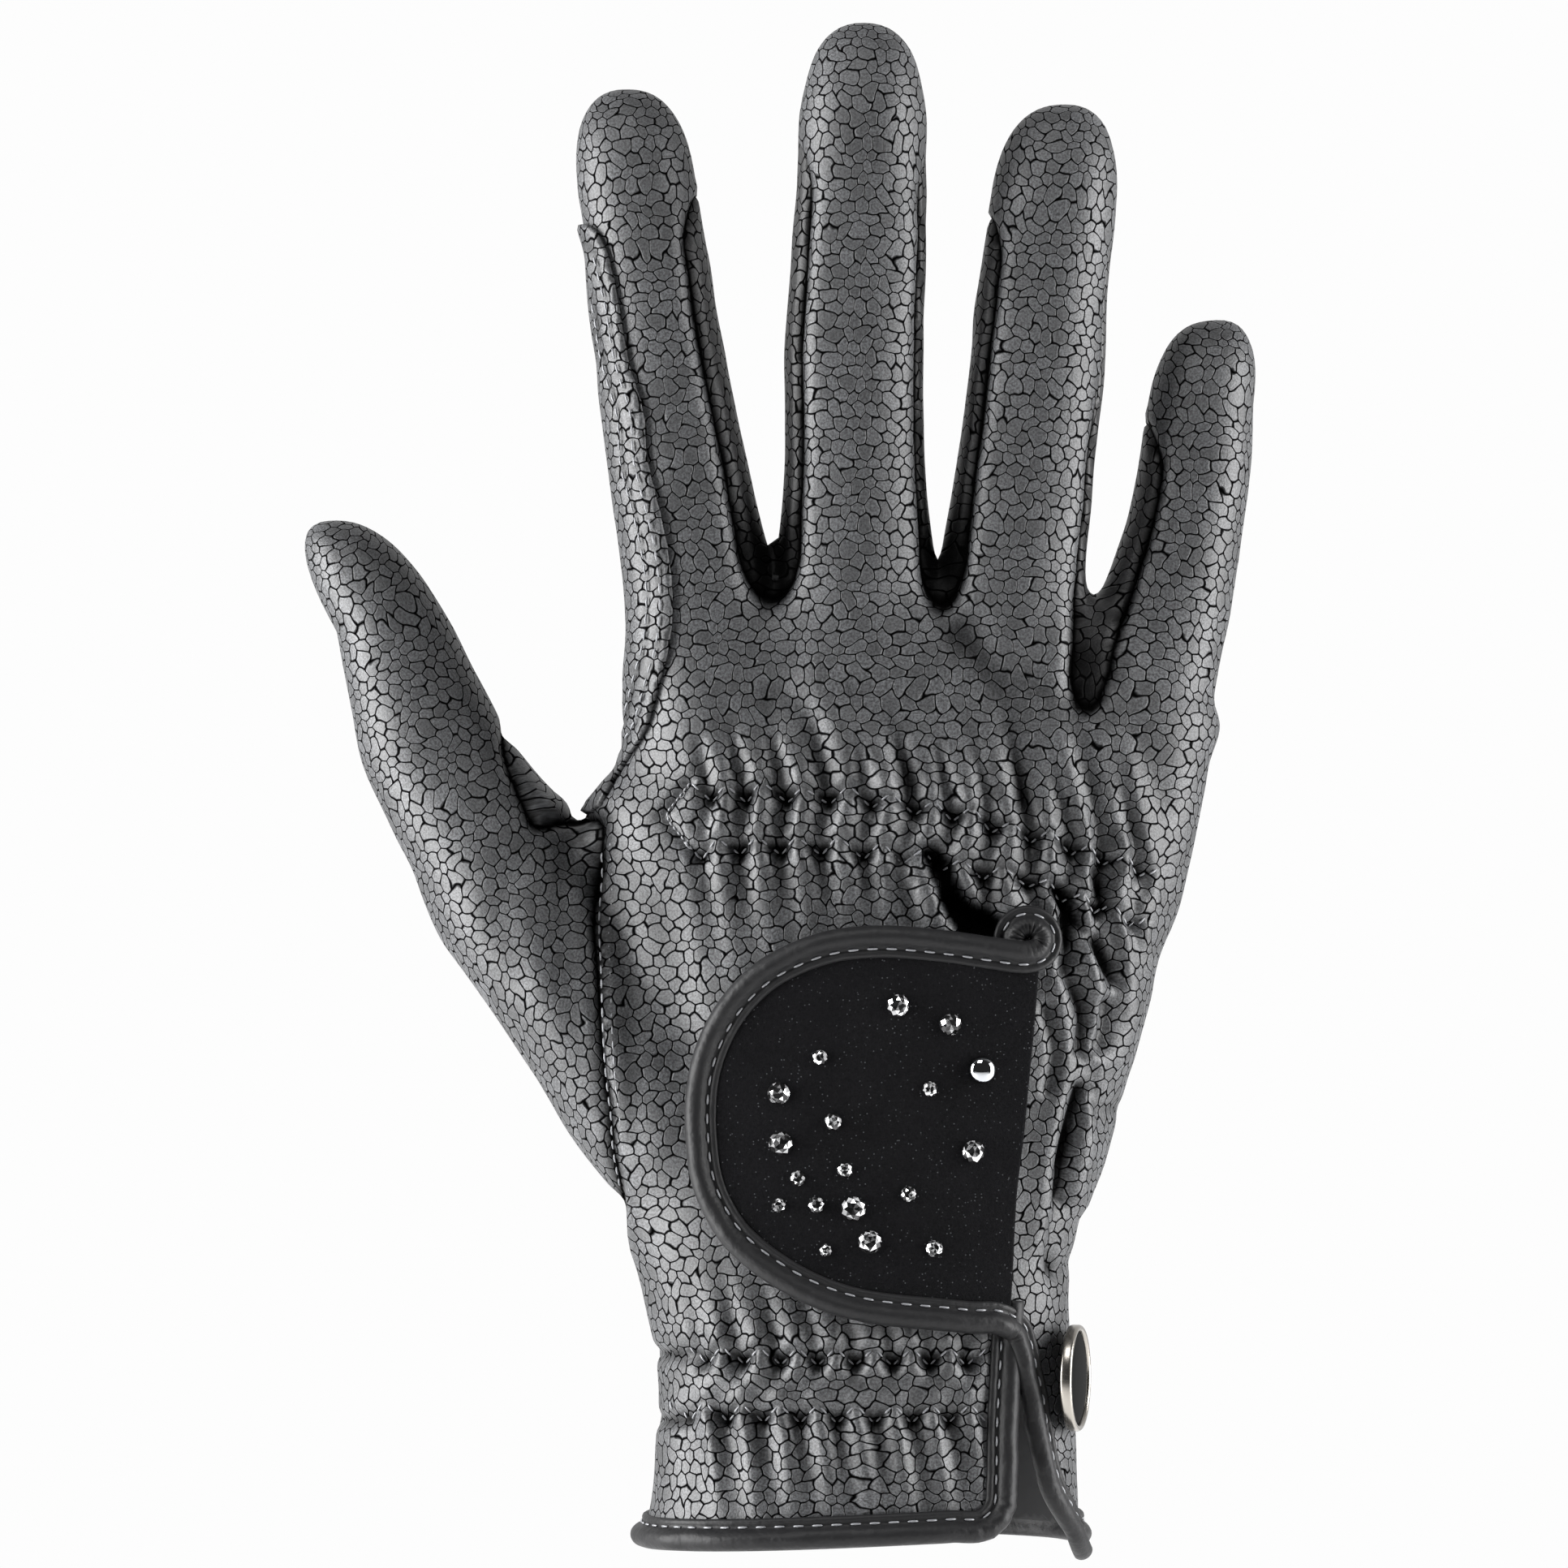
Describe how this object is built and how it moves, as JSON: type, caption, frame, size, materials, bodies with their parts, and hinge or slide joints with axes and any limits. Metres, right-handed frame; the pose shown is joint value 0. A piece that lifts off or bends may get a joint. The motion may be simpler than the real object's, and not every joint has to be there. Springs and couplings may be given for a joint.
{
  "type": "horse riding glove",
  "caption": "Right-hand riding glove of scale-embossed leather, held open as if worn, with a round-ended suede closure tab set with stones, bound edges and a round badge on the cuff.",
  "frame": {"origin": "middle of the wrist opening, in the plane of the hem", "axes": "+Z from the hem to the fingertips, +X from the thumb's side to the little finger's side, +Y from the back of the hand to the palm"},
  "size_m": [0.1481, 0.0486, 0.2351],
  "materials": {
    "scale_leather": "semi-matt, embossed with small rounded scales",
    "smooth_leather": "smooth semi-matt",
    "suede": "matt suede microfibre",
    "nickel": "brushed nickel",
    "enamel": "glossy black",
    "crystal": "faceted, foil-backed"
  },
  "bodies": {
    "root": {"hand_piece": "scale_leather", "thumb_piece": "scale_leather", "fourchette_index_middle": "scale_leather", "fourchette_middle_ring": "scale_leather", "fourchette_ring_little": "scale_leather", "index_patch": "scale_leather", "closure_tab": "suede", "tab_binding": "smooth_leather", "hem_binding": "smooth_leather", "vent_binding": "smooth_leather", "badge_cup": "nickel", "badge_face": "enamel", "stone_01": "crystal", "stone_02": "crystal", "stone_03": "crystal", "stone_04": "crystal", "stone_05": "crystal", "stone_06": "crystal", "stone_07": "crystal", "stone_08": "crystal", "stone_09": "crystal", "stone_10": "crystal", "stone_11": "crystal", "stone_12": "crystal", "stone_13": "crystal", "stone_14": "crystal", "stone_15": "crystal", "stone_16": "crystal", "stone_17": "crystal", "stone_18": "crystal"}
  },
  "joints": []
}
